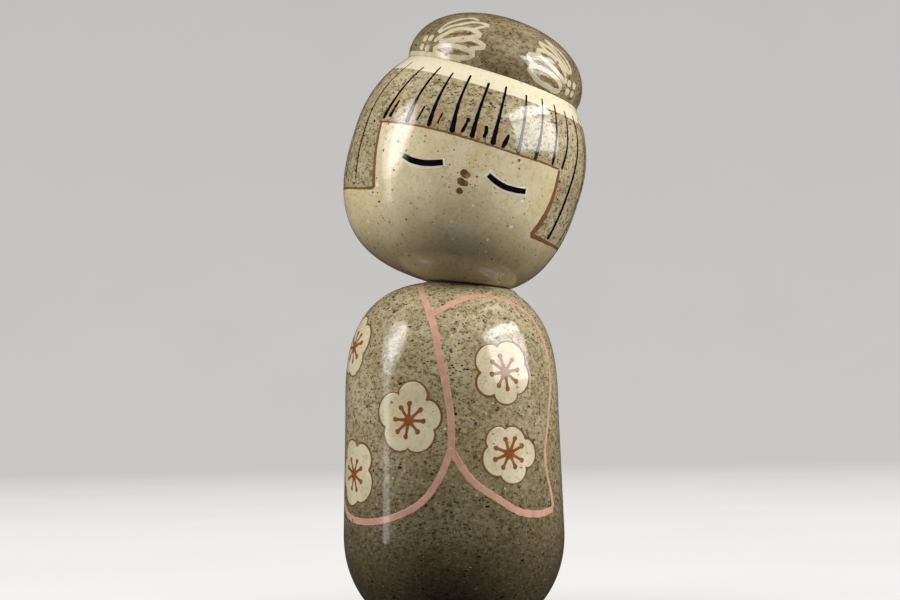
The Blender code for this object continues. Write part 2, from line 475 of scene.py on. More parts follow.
def ground_colour(place):
    """Sandy ground, with cloudy olive tone, gritty grain, brown specks that crowd in places, rust
    and pale flecks. Its dark grit gets closer towards the body's foot, and there its colour is
    darkened as painted shade, for the light that falls off towards the foot."""
    # low grows towards the body's foot; the colour below is darkened there as painted shade.
    low = 1 - step(part_of(place, 2), 8.0, 70.0)
    tone = grain(place, 17.0, 3.0)
    colour = blend(step(tone, 0.35, 0.68), shade(168, 153, 115), shade(193, 178, 142))
    # Painted shade: the colour goes dark towards the foot, where the light falls off.
    colour = blend(0.88 * low, colour, shade(56, 45, 25))
    patch = step(grain(wandering(place, 5.0, 2.0), 3.4, 5.0, 0.75), 0.50, 0.64)
    colour = blend(0.50 * patch, colour, shade(98, 82, 46))
    grit = grain(sized(place, 1.25, 0.9), 1.15, 4.0, 0.80)
    pale_grit = (0.60 - 0.44 * low) * step(grit, 0.46, 0.34)
    colour = blend(pale_grit, colour, shade(206, 194, 162))
    colour = blend((0.72 + 0.20 * low) * step(grit, 0.51, 0.62), colour, shade(66, 50, 24))
    crowd = step(grain(place, 6.5, 3.0), 0.40, 0.60)
    stain = step(grain(wandering(place, 3.0, 1.2), 2.6, 4.0, 0.72), 0.57, 0.67)
    colour = blend(0.50 * stain, colour, shade(108, 72, 30))
    fine = spots(wandering(sized(place, 1.25, 0.85), 0.5, 0.2), 1.0, 0.36, 0.88, 0.08)
    colour = blend((0.60 + 0.38 * crowd) * fine, colour, shade(50, 33, 12))
    coarse = spots(wandering(sized(place, 1.3, 0.9), 0.9, 0.5), 2.4, 0.58, 0.52, 0.12)
    colour = blend((0.50 + 0.48 * crowd) * coarse, colour, shade(30, 19, 6))
    rust = spots(wandering(place, 1.0, 0.5), 3.9, 0.75, 0.36, 0.25)
    colour = blend(0.75 * rust, colour, shade(116, 66, 30))
    pale = spots(wandering(place, 0.8, 0.4), 2.9, 0.52, 0.42, 0.18)
    return blend((0.70 - 0.50 * low) * pale, colour, shade(228, 219, 192))


def marked(place, colour, depth=1.0, dark=(34, 25, 14)):
    """Roughness and height of the lacquer, with the scars cut into them and painted in."""
    rough, height = lacquer(place)
    big, small = scars(place)
    colour = blend(0.85 * big, colour, shade(*dark))
    colour = blend(0.62 * small, colour, shade(92, 70, 40))
    height = height - 0.32 * depth * big - 0.12 * depth * small
    return colour, rough + 0.25 * big, height


def ground(place):
    return marked(place, ground_colour(place))


def bun_ground(place):
    """The same ground, darker, with olive clouds."""
    cloud = step(grain(wandering(place, 6.0, 2.0), 8.0, 4.0, 0.7), 0.36, 0.66)
    return marked(place, blend(0.38 + 0.30 * cloud, ground_colour(place), shade(84, 69, 40)))


def cream_colour(place):
    """Cream paint, cloudy, with tan mottling and rusty flecks."""
    tone = grain(place, 9.0, 3.0)
    colour = blend(step(tone, 0.35, 0.68), shade(214, 200, 162), shade(227, 216, 184))
    mottle = step(grain(wandering(place, 2.0, 0.6), 1.3, 4.0, 0.78), 0.50, 0.66)
    colour = blend(0.48 * mottle, colour, shade(172, 150, 100))
    flecks = spots(wandering(place, 0.8, 0.4), 3.0, 0.55, 0.36, 0.2)
    return blend(0.65 * flecks, colour, shade(160, 106, 54))


def head_cream(place):
    """Skin cream: smooth, with tan pinholes, deep holes, white flecks and yellowed clouds. Towards
    the foot of the head, under the chin, the cream is browned as painted shade."""
    tone = grain(place, 11.0, 3.0)
    colour = blend(step(tone, 0.35, 0.68), shade(214, 197, 154), shade(228, 214, 176))
    fine = grain(place, 1.1, 4.0, 0.78)
    colour = blend(0.40 * step(fine, 0.50, 0.66), colour, shade(150, 126, 80))
    yellow = step(grain(place, 2.6, 3.0), 0.56, 0.70)
    colour = blend(0.42 * yellow, colour, shade(206, 174, 98))
    pins = spots(wandering(place, 0.7, 0.22), 1.8, 0.40, 0.58, 0.12)
    colour = blend(0.78 * pins, colour, shade(124, 92, 46))
    holes = spots(wandering(place, 0.8, 0.35), 4.0, 0.62, 0.55, 0.16)
    colour = blend(0.88 * holes, colour, shade(70, 50, 24))
    white = spots(wandering(place, 0.9, 0.4), 3.5, 0.80, 0.46, 0.2)
    colour = blend(0.75 * white, colour, shade(246, 240, 220))
    # Painted shade under the chin: the cream is browned towards the foot of the head.
    under = 1 - step(part_of(place, 2), 97.0, 119.0)
    colour = blend(0.52 * under, colour, shade(92, 70, 40))
    rough, height = lacquer(place)
    height = height - 0.14 * pins - 0.36 * holes - 0.06 * white
    return colour, rough, height


def head_paint(place):
    """The head: hair ground where the distance inside the hair's edge is positive, pale cream where
    the band's is, and skin cream over the rest."""
    hair_at = place.node("Attribute", {"attribute_name": "hair"}, {}, 2)
    band_at = place.node("Attribute", {"attribute_name": "band"}, {}, 2)
    ragged = 0.22 * grain(place, 0.8, 3.0) - 0.11
    hair = step(hair_at + ragged, -0.06, 0.06)
    band = step(band_at + 0.8 * ragged, -0.06, 0.06)
    skin, rough, skin_height = head_cream(place)
    hair_colour, _, hair_height = ground(place)
    band_colour = blend(
        0.3 * step(grain(place, 1.6, 4.0), 0.5, 0.7), shade(228, 218, 186), shade(206, 186, 138)
    )
    colour = blend(hair, skin, hair_colour)
    colour = blend(band, colour, band_colour)
    mixed = hair.node("Mix", {}, {0: hair, 2: skin_height, 3: hair_height})
    return colour, rough, mixed - 0.03 * hair


def painted(base, shift, mottle=0.30, depth=0.6):
    """A paint of one colour that drifts towards another, with the ground's grit showing through."""

    def paint(place):
        tone = step(grain(place, 3.0, 3.0), 0.35, 0.68)
        colour = blend(tone, shade(*base), shade(*shift))
        thin = step(grain(place, 1.0, 4.0, 0.75), 0.54, 0.70)
        colour = blend(mottle * thin, colour, shade(120, 96, 62))
        return marked(place, colour, depth)

    return paint


def cream_paint(place):
    return marked(place, cream_colour(place), 0.7, (96, 70, 40))


def black_paint(place):
    """Glossy black line paint, a little thin in places."""
    worn = spots(wandering(place, 0.7, 0.2), 2.6, 0.32, 0.22, 0.1)
    thin = step(grain(place, 0.9, 3.0), 0.58, 0.80)
    colour = blend(0.5 * thin, shade(7, 6, 6), shade(22, 18, 14))
    colour = blend(0.6 * worn, colour, shade(120, 98, 70))
    rough, height = lacquer(place)
    return colour, rough, height - 0.05 * worn


def bare_wood(place):
    """Turned wood: growth lines that run up the grain, with pale and dark streaks."""
    stretched = sized(place, 1.0, 14.0)
    lines = step(grain(stretched, 1.1, 4.0, 0.6), 0.38, 0.66)
    colour = blend(lines, shade(214, 190, 142), shade(178, 146, 96))
    pores = spots(sized(place, 1.0, 5.0), 1.1, 0.16, 0.5, 0.08)
    colour = blend(0.6 * pores, colour, shade(122, 92, 56))
    rough = 0.42 + 0.15 * lines
    return colour, rough, 0.02 * lines - 0.05 * pores


ground_finish = finish("speckled_ground", ground)
head_finish = finish("head_ground", head_paint)
cream_finish = finish("cream_paint", cream_paint)
band_finish = finish("pale_cream_paint", painted((208, 198, 168), (194, 180, 144), 0.16, 0.4))
pink_finish = finish("pink_paint", painted((214, 168, 144), (202, 154, 130), 0.24, 0.5))
rust_finish = finish("rust_paint", painted((136, 76, 34), (152, 92, 48), 0.15, 0.5))
brown_finish = finish("brown_line_paint", painted((120, 80, 52), (134, 92, 60), 0.25, 0.4))
tan_finish = finish("tan_paint", painted((188, 148, 108), (172, 132, 92), 0.30, 0.5))
white_finish = finish("white_paint", painted((232, 226, 206), (220, 212, 188), 0.10, 0.4))
mouth_finish = finish("mouth_paint", painted((104, 72, 48), (164, 116, 90), 0.55, 0.5))
heart_finish = finish("heart_paint", painted((112, 68, 46), (134, 104, 70), 0.40, 0.5))
bun_finish = finish("bun_ground", bun_ground)
black_finish = finish("black_paint", black_paint)
wood_finish = finish("peg_wood", bare_wood)

# ---------- body


def crown_height(x, y):
    """Height of the body's domed top over a point: the squared-off ellipse of its crown."""
    share = np.clip(np.hypot(x, y) / BODY_UPPER_RADIUS, 0, 1)
    return SHOULDER_Z + CROWN_DEPTH * (1 - share**CROWN_POWER) ** (1 / CROWN_POWER)


def rings(radii, centre_x, heights):
    """Level rings of the given radii about points on the X axis."""
    radii = np.asarray(radii, float)[:, None, None]
    shift = np.stack([centre_x, 0 * centre_x, heights], axis=1)[:, None, :]
    return radii * circle[None] + shift


def seat_rings(radii, levels):
    """Rings about the seat's leaning axis, each at a level above the seat."""
    flat = rings(radii, np.zeros(len(radii)), np.asarray(levels, float))
    return flat @ seat_turn.T + SEAT_CENTRE


def body_surface():
    """The base, the turned wall up on to the dome, then rings that close and drift from the body's
    axis to the seat's while they stay on the dome or, near the seat, rise in a fillet to its level;
    then the bore for the peg, which is rings about the seat's axis."""
    base_radius = body_form.radius[0]
    base_radii = np.array([6.0, 12.0, 18.0, base_radius - 1.2, base_radius - FOOT_CHAMFER])
    base = rings(base_radii, 0 * base_radii, 0 * base_radii)
    top_arc = body_form.arc_at(crown_height(WALL_TOP_RADIUS, 0.0))
    wall = body_form.world(body_form.wall(np.linspace(0, top_arc, 225)))
    radii = np.linspace(CLOSING_RADIUS, BORE_RADIUS, 60)
    share = (CLOSING_RADIUS - radii) / (CLOSING_RADIUS - BORE_RADIUS)
    closing = rings(radii, SEAT_CENTRE[0] * share, 0 * radii)
    dome = crown_height(closing[..., 0], closing[..., 1])
    from_seat = closing[..., 0] - SEAT_CENTRE[0]
    level = SEAT_CENTRE[2] + BOSS_HEIGHT - 0.05 - from_seat * math.tan(SEAT_LEAN)
    reach = np.hypot(from_seat, closing[..., 1])
    near = np.clip((BOSS_RADIUS + SEAT_FILLET - reach) / SEAT_FILLET, 0, 1)
    near = near * near * (3 - 2 * near)
    closing[..., 2] = dome + near * np.maximum(level - dome, 0)
    down = np.array([-1.5, -4.0, -10.0, 0.6 - BORE_DEPTH, -BORE_DEPTH])
    bore = seat_rings([BORE_RADIUS] * 4 + [BORE_RADIUS - 0.6], down)
    return np.concatenate([base, wall, closing, bore])


piece("body_shell", [shell(body_surface())], "body", ground_finish, ["body"])

boss_profile = np.array(
    [
        (BOSS_RADIUS, -BOSS_ROOT),
        (BOSS_RADIUS, 0.0),
        (BOSS_RADIUS, BOSS_HEIGHT - 0.15),
        (BOSS_RADIUS - 0.05, BOSS_HEIGHT - 0.05),
        (BOSS_RADIUS - 0.15, BOSS_HEIGHT),
        (BOSS_RADIUS - 1.0, BOSS_HEIGHT),
        (9.0, BOSS_HEIGHT),
        (BORE_RADIUS + 0.4, BOSS_HEIGHT),
        (BORE_RADIUS + 0.1, BOSS_HEIGHT - 0.1),
        (BORE_RADIUS, BOSS_HEIGHT - 0.3),
        (BORE_RADIUS, -BOSS_ROOT),
    ]
)
boss = shell(seat_rings(boss_profile[:, 0], boss_profile[:, 1]), loop=True)
piece("seat_boss", [boss], "body", ground_finish)

# ---------- robe lines

COLLAR = [(-48, 98.9), (-40, 98.3), (-12.6, 88.5), (-5.9, 75.5), (-0.6, 57.5), (-0.8, 48.2)]
HEM_LEFT = [
    (-0.6, 50.0), (-5.8, 42.5), (-17.5, 33.9), (-31.8, 30.2), (-51.9, 28.7), (-70.2, 30.2),
    (-84, 34.5), (-102, 41.5), (-114, 53), (-118, 68), (-110, 82), (-88, 92), (-62, 96.6),
]
HEM_RIGHT = [(-1.2, 49.6), (10.3, 40), (23.6, 34.8), (34.5, 31.3), (47.4, 30.2), (62.7, 31.3)]
LAPEL = [
    (62.9, 31.6), (61.4, 36), (57.6, 42), (56.7, 47.6), (61.6, 57), (66.6, 68.7),
    (66.3, 80.5), (61, 88.5), (45, 92.7), (25.6, 94.1), (5.4, 92.4), (-11.5, 88.5),
]
LAPEL_WIDTHS = [1.5, 1.3, 1.2, 1.2, 1.2, 1.2, 1.2, 1.3, 1.5, 1.8, 2.1, 2.0]

robe = [
    ribbon(body_form, COLLAR, [1.4, 1.5, 2.0, 2.1, 2.2, 2.1], wander=0.03, seed=1),
    ribbon(body_form, HEM_LEFT, [2.0] * 9 + [1.8, 1.5, 1.2, 1.0], wander=0.04, seed=2, lift=0.006),
    ribbon(body_form, HEM_RIGHT, [2.2, 2.1, 2.0, 2.1, 2.1, 1.9], wander=0.06, seed=3, lift=0.005),
    ribbon(body_form, LAPEL, LAPEL_WIDTHS, wander=0.06, seed=4, lift=0.008),
]
piece("robe_lines", robe, "body", pink_finish)

# ---------- blossoms
# Each petal is the direction of its tip in degrees, anticlockwise from the +X side as seen from
# outside, and its reach in mm. The notches lie midway between the tips, at one radius.

PLUM_A = [(18, 10), (75, 11.5), (150, 11), (235, 10), (300, 10)]
PLUM_B = [(57, 9.5), (150, 10), (212, 10), (268, 9.5), (335, 9)]
PLUM_C = [(0, 10), (70, 8), (128, 9), (200, 9), (288, 9)]
PLUM_D = [(25, 9.5), (100, 10), (168, 9.5), (228, 9), (300, 9.5)]
PLUM_E = [(45, 11), (110, 10.5), (177, 10), (245, 9.5), (332, 10.5)]

# Azimuth and height of the middle, petals, notch radius, direction of the first stamen, turn.
BLOSSOMS = [
    (-23, 58, PLUM_A, 8.0, 38, 0),
    (29.5, 71.5, PLUM_B, 7.5, 10, 0),
    (30.5, 48, PLUM_C, 7.0, 20, 0),
    (-71, 80, PLUM_D, 7.5, 8, 0),
    (-63.5, 42.5, PLUM_E, 8.0, 22, 0),
    (108, 60, PLUM_B, 7.5, 10, 140),
    (-166, 71, PLUM_A, 8.0, 38, 95),
    (157, 44, PLUM_C, 7.0, 20, 210),
    (-138, 43, PLUM_B, 7.5, 10, 40),
]


def plum_outline(petals, notch):
    """Radii of a blossom's edge at 240 directions. Each petal is a round arch between the notches on
    either side of its tip: the notch radius plus the rest of its reach times sin(pi s) to the power
    0.6, where s runs from 0 at one notch to 1 at the next."""
    direction = np.arange(240) * 1.5
    tips = np.array([tip for tip, reach in petals], float)
    starts = (tips + np.r_[tips[-1] - 360, tips[:-1]]) / 2
    ends = (tips + np.r_[tips[1:], tips[0] + 360]) / 2
    outline = np.full(240, float(notch))
    for (tip, reach), start, end in zip(petals, starts, ends):
        share = ((direction - start) % 360) / (end - start)
        arch = np.sin(np.pi * np.clip(share, 0, 1)) ** 0.6
        outline += np.where(share < 1, (reach - notch) * arch, 0)
    return outline


STAMEN_LENGTH = 4.6
STAMEN_SWAY = 5.0


def eight_spokes(first):
    """Directions and lengths of eight stamens: an eighth of a turn apart, give or take the sway in
    degrees, and one length, give or take a third of a millimetre, both by sines of the number."""
    number = np.arange(8)
    directions = first + 45 * number + STAMEN_SWAY * np.sin(2.1 * number + first)
    lengths = STAMEN_LENGTH + 0.35 * np.sin(1.7 * number + first)
    return list(zip(directions, lengths))


def around(form, azimuth, height, direction, reach):
    """Azimuths and heights of places at a direction and distance from a middle, on the surface."""
    angle = np.radians(direction)
    arc = form.arc_at(height) + reach * np.sin(angle)
    swing = np.degrees(reach * np.cos(angle) / form.radius_at(arc))
    return np.stack([azimuth + swing, form.height_at(arc)], axis=1)


def stamens(form, azimuth, height, spokes, turn):
    """Eight strokes that leave the middle thick and thin out, a round dot on the end of each, and a
    round blob where they meet."""
    made = []
    for number, (direction, length) in enumerate(spokes):
        reach = length * np.array([0.0, 0.25, 0.5, 0.8, 1.0])
        path = around(form, azimuth, height, direction + turn + 0 * reach, reach)
        widths = np.array([1.6, 1.2, 0.95, 0.90, 0.95])
        lift = 0.022 + 0.002 * number
        made.append(ribbon(form, path, widths, lift=lift, wander=0.04, seed=number + turn))
        dot = 0.76 + 0.05 * np.sin(np.radians(np.arange(36) * 20 + number * 50))
        made.append(pad(form, path[-1, 0], path[-1, 1], dot, 0.038))
    blob = 1.50 + 0.16 * np.cos(np.radians(np.arange(60) * 6) * 8)
    made.append(pad(form, azimuth, height, blob, 0.042, turn))
    return made


petal_shells, edge_shells, stamen_shells = [], [], []
for azimuth, height, plum, notch, first, turn in BLOSSOMS:
    outline = plum_outline(plum, notch)
    petal_shells.append(pad(body_form, azimuth, height, outline, 0.0, turn))
    direction = np.arange(240) * 1.5 + turn
    rim = around(body_form, azimuth, height, direction, outline)
    thickness = 0.58 + 0.17 * np.sin(np.radians(direction * 2 + 40)) + 0.05 * np.sin(direction / 7)
    edge_shells.append(ribbon(body_form, rim, thickness, closed=True, lift=0.012))
    stamen_shells += stamens(body_form, azimuth, height, eight_spokes(first), turn)
piece("blossom_petals", petal_shells, "body", cream_finish)
piece("blossom_edges", edge_shells, "body", brown_finish)
piece("blossom_stamens", stamen_shells, "body", rust_finish)

# ---------- head

BAND_FOOT = [(-180, 25.2), (-60, 25.1), (0, 25.0), (50, 25.4), (90, 25.5), (180, 25.2)]
FRINGE = [(-52, 7.2), (-50, 7.3), (-22, 8.5), (3, 8.8), (24, 8.9), (39, 9.3), (49, 9.3)]
LEFT_LOCK = [(-44, -12.1), (-45.3, -8.0), (-47.8, -1.3), (-49.3, 3.5), (-50, 7.4)]
RIGHT_LOCK = [(46.3, -11.6), (48.2, -8.5), (49.8, -4.6), (50.7, -0.5), (50.6, 3.3), (49.4, 9.2)]
LOCK_FOOT = [
    (-180, -12.6), (-72.5, -13.4), (-60.6, -13.2), (-50.8, -12.7), (-44, -12.1),
    (0, -12.0), (46.3, -11.5), (59.7, -11.7), (78, -11.6), (180, -12.6),
]


def head_edges(azimuth, height):
    """Distances in mm from the painted edges: the hair is above its foot, below the band and, over
    the face, above the fringe or outside the locks; the band is above its own foot. Positive is
    inside. Each distance is a height difference, or an azimuth difference times the radius."""
    azimuth = (azimuth + 180) % 360 - 180
    radius = head_form.radius_at(head_form.arc_at(height))
    arc = head_form.arc_at(height)
    fringe = head_form.arc_at(np.interp(azimuth, *np.array(FRINGE).T)) - arc
    left = np.interp(height, *np.array(LEFT_LOCK)[:, ::-1].T)
    right = np.interp(height, *np.array(RIGHT_LOCK)[:, ::-1].T)
    inside_left = np.radians(azimuth - left) * radius
    inside_right = np.radians(right - azimuth) * radius
    face = np.minimum(fringe, np.minimum(inside_left, inside_right))
    below = head_form.arc_at(np.interp(azimuth, *np.array(LOCK_FOOT).T)) - arc
    band = arc - head_form.arc_at(np.interp(azimuth, *np.array(BAND_FOOT).T))
    hair = np.minimum(-np.maximum(face, below), -band)
    return hair, band


FAR_INSIDE = 3.0


def head_surface():
    """The turned head, up to the level face under the bun. Below its oblique foot plane each point
    is moved square onto the plane, eased by a hundredth of a millimetre, which leaves a flat facet."""
    top = head_form.arc_at(HEAD_TOP)
    wall = head_form.wall(np.linspace(0.6, top, 250))
    azimuths = np.broadcast_to(np.degrees(column), wall.shape[:2])
    hair, band = head_edges(azimuths, wall[..., 2])
    radius = head_form.radius_at(top)
    lid_radii = radius * np.array([0.985, 0.7, 0.35])
    lid = rings(lid_radii, 0 * lid_radii, HEAD_TOP + 0 * lid_radii)
    grid = np.concatenate([wall, lid])
    well_inside = np.full(lid.shape[:2], FAR_INSIDE)
    hair = np.concatenate([hair, -well_inside])
    band = np.concatenate([band, well_inside])
    normal = lean(HEAD_LEAN_ON_PEG)[2]
    above = (grid - HEAD_FOOT_POINT) @ normal
    eased = 0.5 * (above + np.sqrt(above**2 + FOOT_EASING))
    grid = grid + (eased - above)[..., None] * normal
    return grid, hair, band


head_grid, hair_edge, band_edge = head_surface()
head_shells = [shell(head_form.world(head_grid))]
head = piece("head_shell", head_shells, "head", head_finish, ["head"])
# The last two values are for the middle of the foot and the middle of the top.
for label, edge, top_value in (("hair", hair_edge, -FAR_INSIDE), ("band", band_edge, FAR_INSIDE)):
    attribute = head.data.attributes.new(label, "FLOAT", "POINT")
    whole = np.r_[edge.ravel(), -FAR_INSIDE, top_value]
    attribute.data.foreach_set("value", whole.astype(np.float32))

# ---------- hair
# Each stroke is its places, azimuth and height, and its width at each.

STROKES = [
    ([(-75, 27.2), (-77, 10), (-75, -10.4)], [0.3, 0.5, 0.6]),
    ([(-57, 27.6), (-62, 15), (-63, 2), (-60.4, -10.6)], [0.35, 0.6, 0.75, 0.6]),
    ([(-43, 26.5), (-46.5, 17), (-49.4, 8.2)], [0.5, 0.9, 1.5]),
    ([(-32, 27.6), (-33.5, 17), (-34, 8.5)], [0.5, 0.9, 1.6]),
    ([(-22.4, 26.8), (-22.5, 17), (-22, 8.8)], [0.5, 1.0, 1.5]),
    ([(-12, 27.4), (-11.5, 17), (-10, 8.9)], [0.6, 1.0, 1.8]),
    ([(-0.5, 26.7), (-0.8, 17), (-0.4, 9.1)], [0.7, 1.0, 1.6]),
    ([(9.6, 27.3), (9.6, 17), (10, 9.0)], [0.6, 1.0, 1.7]),
    ([(22.2, 26.9), (22.8, 17), (23.1, 9)], [0.6, 0.8, 1.3]),
    ([(33.1, 27.6), (33.2, 17), (32.8, 9.1)], [0.5, 0.8, 1.3]),
    ([(42.6, 27.4), (43.6, 17), (43.7, 9.6)], [0.5, 0.8, 1.1]),
    ([(51.8, 27), (52.6, 17), (51, 9.6)], [0.5, 0.8, 1.0]),
    ([(61.1, 26.8), (63.3, 21), (62.6, 8), (60.4, -10.9)], [0.5, 0.8, 1.2, 1.3]),
    ([(69.6, 27), (78, 12), (80, 1.2), (75, -10.5)], [0.4, 0.6, 0.7, 0.5]),
]
BACK_AZIMUTHS = np.arange(91, 276, 11.5)
for number, azimuth in enumerate(BACK_AZIMUTHS):
    sway = 2.0 * math.sin(number * 2.3)
    end = -10.8 + 0.5 * math.sin(number * 1.9)
    path = [(azimuth, 27.2), (azimuth + sway, 14), (azimuth + 0.5 * sway, 0), (azimuth, end)]
    STROKES.append((path, [0.45, 0.8, 1.15, 1.1]))

stroke_shells = strokes(head_form, STROKES, 0.07, 0.02)

# A tan sliver lies against the foot of each fringe stroke, and a short black one beyond it.
SLIVERS = [
    ([(-44.0, 19.0), (-47.0, 13.5), (-47.8, 9.8)], [0.4, 1.7, 1.5]),
    ([(-30.4, 16.5), (-31.0, 12.5), (-30.8, 9.2)], [0.7, 1.7, 1.6]),
    ([(-19.0, 15.2), (-19.4, 12.4), (-19.6, 9.9)], [0.6, 1.3, 1.0]),
    ([(-7.6, 15.0), (-7.2, 12.4), (-7.3, 9.2)], [0.7, 1.6, 1.4]),
    ([(1.6, 14.6), (2.4, 12.2), (3.0, 9.6)], [0.6, 1.4, 2.0]),
    ([(12.2, 15.0), (12.8, 12.4), (13.2, 9.3)], [0.7, 1.4, 1.3]),
]
sliver_shells = strokes(head_form, SLIVERS, 0.12, 0.01)
TICKS = [
    ([(-43.6, 14.8), (-44.4, 12.0), (-45.6, 9.0)], [0.6, 1.0, 1.5]),
    ([(-27.6, 14.6), (-28.2, 12.0), (-29.0, 9.6)], [0.5, 0.7, 0.6]),
    ([(-17.4, 14.0), (-17.8, 12.2), (-18.0, 10.4)], [0.4, 0.5, 0.4]),
    ([(-4.4, 14.6), (-4.8, 12.4), (-5.6, 9.8)], [1.1, 0.9, 1.0]),
    ([(4.6, 13.9), (5.4, 12.6), (5.0, 10.2)], [1.3, 1.2, 0.8]),
    ([(16.4, 13.6), (15.8, 11.6), (15.0, 9.2)], [0.9, 1.2, 1.5]),
]
tick_shells = strokes(head_form, TICKS, 0.14, 0.015, 5)
piece("hair_strokes", stroke_shells + tick_shells, "head", black_finish)
piece("hair_slivers", sliver_shells, "head", tan_finish)

LEFT_FOOT = [(-44, -12.1), (-50.8, -12.7), (-60.6, -13.2), (-72.5, -13.4), (-120, -12.9)]
RIGHT_FOOT = [(46.3, -11.5), (59.7, -11.7), (78, -11.6), (120, -12.2)]
BACK_FOOT = [(120, -12.2), (150, -12.5), (180, -12.6), (210, -12.7), (240, -12.9)]
hair_lines = [
    ribbon(head_form, FRINGE, 0.62, wander=0.12, seed=1),
    ribbon(head_form, LEFT_LOCK, [1.3, 1.2, 1.1, 1.0, 0.8], wander=0.06, seed=2, lift=0.004),
    ribbon(head_form, RIGHT_LOCK, [1.7, 1.9, 1.8, 1.6, 1.3, 1.0], wander=0.06, seed=3, lift=0.004),
    ribbon(head_form, LEFT_FOOT, [1.0, 0.8, 0.7, 0.7, 0.7], wander=0.10, seed=4),
    ribbon(head_form, RIGHT_FOOT, [1.5, 1.1, 0.9, 0.8], wander=0.10, seed=5),
    ribbon(head_form, BACK_FOOT, 0.75, wander=0.10, seed=6, lift=0.004),
]
piece("hair_outline", hair_lines, "head", brown_finish)

# ---------- face

LEFT_EYE = [(-30.1, -1.0), (-25.5, -1.7), (-19.7, -1.7), (-14.5, -1.0), (-9.6, 0.1)]
RIGHT_EYE = [(12.4, 0.5), (16.5, -0.5), (21.6, -1.15), (27.0, -1.05), (33.1, -0.4)]
eyes = [
    ribbon(head_form, LEFT_EYE, [1.5, 1.75, 1.85, 1.85, 1.8], round_ends=False, lift=0.024),
    ribbon(head_form, RIGHT_EYE, [1.5, 1.75, 1.8, 1.75, 1.65], round_ends=False, lift=0.024),
]
piece("eye_lines", eyes, "head", black_finish)
LEFT_HALO = [(-30.9, -0.9), (-25.5, -2.3), (-19.7, -2.35), (-14.5, -1.5), (-9.0, 0.2)]
RIGHT_HALO = [(11.6, 0.9), (16.5, -0.7), (21.6, -1.5), (27.0, -1.4), (33.9, -0.5)]
halos = [
    ribbon(head_form, LEFT_HALO, [2.3, 2.5, 2.6, 2.5, 2.4], round_ends=False, wander=0.05),
    ribbon(head_form, RIGHT_HALO, [2.8, 2.8, 2.6, 2.6, 2.6], round_ends=False, wander=0.05),
]
piece("eye_halos", halos, "head", white_finish)

MOUTH = [
    ([(0.0, -0.2), (1.2, -1.0), (2.6, -1.5), (4.4, -0.9)], [1.4, 2.1, 2.1, 1.5]),
    ([(-0.4, -2.8), (1.2, -3.7), (2.8, -3.9), (4.2, -3.1)], [1.5, 2.2, 2.1, 1.4]),
    ([(0.6, -5.6), (2.0, -6.4), (3.4, -6.2)], [1.3, 2.0, 1.3]),
]
mouth = strokes(head_form, MOUTH, 0.14)
piece("mouth_marks", mouth, "head", mouth_finish)

FRECKLES = [
    (4.6, 1.3, 0.2), (2.2, 2.1, 0.2), (7.6, -1.0, 0.34), (6.6, 1.9, 0.18),
    (-1.6, -1.6, 0.22), (9.2, -3.4, 0.16), (7.0, -4.4, 0.18), (6.0, -6.0, 0.2),
]
dab = np.ones(24)
freckles = [
    pad(head_form, azimuth, height, dab * radius) for azimuth, height, radius in FRECKLES
]
piece("freckles", freckles, "head", brown_finish)

# ---------- bun


def bun_surface():
    """The level foot of the bun, its tucked lower edge and its dome."""
    radii = np.array([8.0, 17.0, BUN_TUCK_RADIUS - 0.8])
    foot = rings(radii, 0 * radii, bun_form.height[0] + 0 * radii)
    dome = bun_form.wall(np.linspace(0, bun_form.arc[-1] - 0.3, 150))
    return bun_form.world(np.concatenate([foot, dome]))


piece("bun_shell", [shell(bun_surface())], "head", bun_finish, ["bun"])

# Each leaf stroke is its places, azimuth and height, and its width.
LEAVES_LEFT = [
    ([(-48.8, 38), (-46.6, 41.6), (-40.6, 43.9), (-33.7, 45), (-25.4, 44.8)], 1.07),
    ([(-47.7, 37.8), (-42.7, 40.2), (-35.3, 42.1), (-25.7, 43.9), (-14.5, 43.9)], 1.22),
    ([(-14.5, 43.9), (-18.8, 42.6), (-23.1, 41.4)], 1.24),
    ([(-47.6, 34.9), (-42.1, 37.4), (-35.3, 40), (-28.3, 40.9), (-22.3, 40.9), (-15.3, 39.8)], 1.58),
    ([(-15.3, 39.8), (-22.8, 38.3), (-29.2, 37.2), (-35.9, 36.1), (-43.5, 35.1)], 1.58),
    ([(-35.7, 36), (-25.2, 37.1), (-21.6, 37.9), (-16.9, 37.9), (-9.9, 36.7)], 1.47),
    ([(-9.8, 36.6), (-14.9, 35.7), (-19.4, 34.8)], 1.47),
    ([(-45.9, 32.3), (-41.9, 33.7), (-34.3, 34.6), (-26.7, 34.8), (-20.9, 34.5), (-14.9, 33.9)], 1.58),
    ([(-14.9, 33.9), (-17.3, 32.6), (-22.7, 31.8), (-31.8, 31.3), (-40.3, 31.5), (-45.9, 32.3)], 1.58),
]
LEAVES_RIGHT = [
    ([(35.3, 45.7), (40.6, 44.8), (47.3, 43.9), (52.7, 42.2), (57.2, 39.3), (56, 38.1)], 1.07),
    ([(35.3, 45.6), (40.3, 43.9), (47.5, 41.6), (52.5, 39.8), (56, 38.1)], 1.02),
    ([(27.1, 44), (33.1, 43.5), (38.4, 43), (41.9, 41.9), (45.5, 40.4), (49.8, 39.2), (54.9, 38)], 1.24),
    ([(27.1, 44), (29.8, 42.6), (33.3, 41.4)], 1.24),
    ([(23.8, 41), (28.6, 41.4), (33.3, 41.4), (38.1, 41), (42.9, 39.8), (47.2, 38.6), (50.8, 36.6)], 1.58),
    ([(50.8, 36.6), (50.6, 35.1), (46.0, 36.0), (38.0, 37.6), (27.1, 39.6), (23.8, 41)], 1.47),
    ([(17.6, 38.8), (22, 39.2), (27.1, 39.6)], 1.47),
    ([(17.6, 38.8), (18.6, 37.9), (22.3, 36.5), (26, 36.1)], 1.47),
    ([(19.7, 35.1), (23.9, 35.9), (29.9, 36), (35.5, 35.7), (41.8, 34.9), (46.3, 33.9), (48.4, 32.1)], 1.58),
    ([(19.7, 35.1), (24.2, 33.3), (30.4, 32), (36.8, 31.8), (43.5, 31.4), (48.6, 32)], 1.58),
]
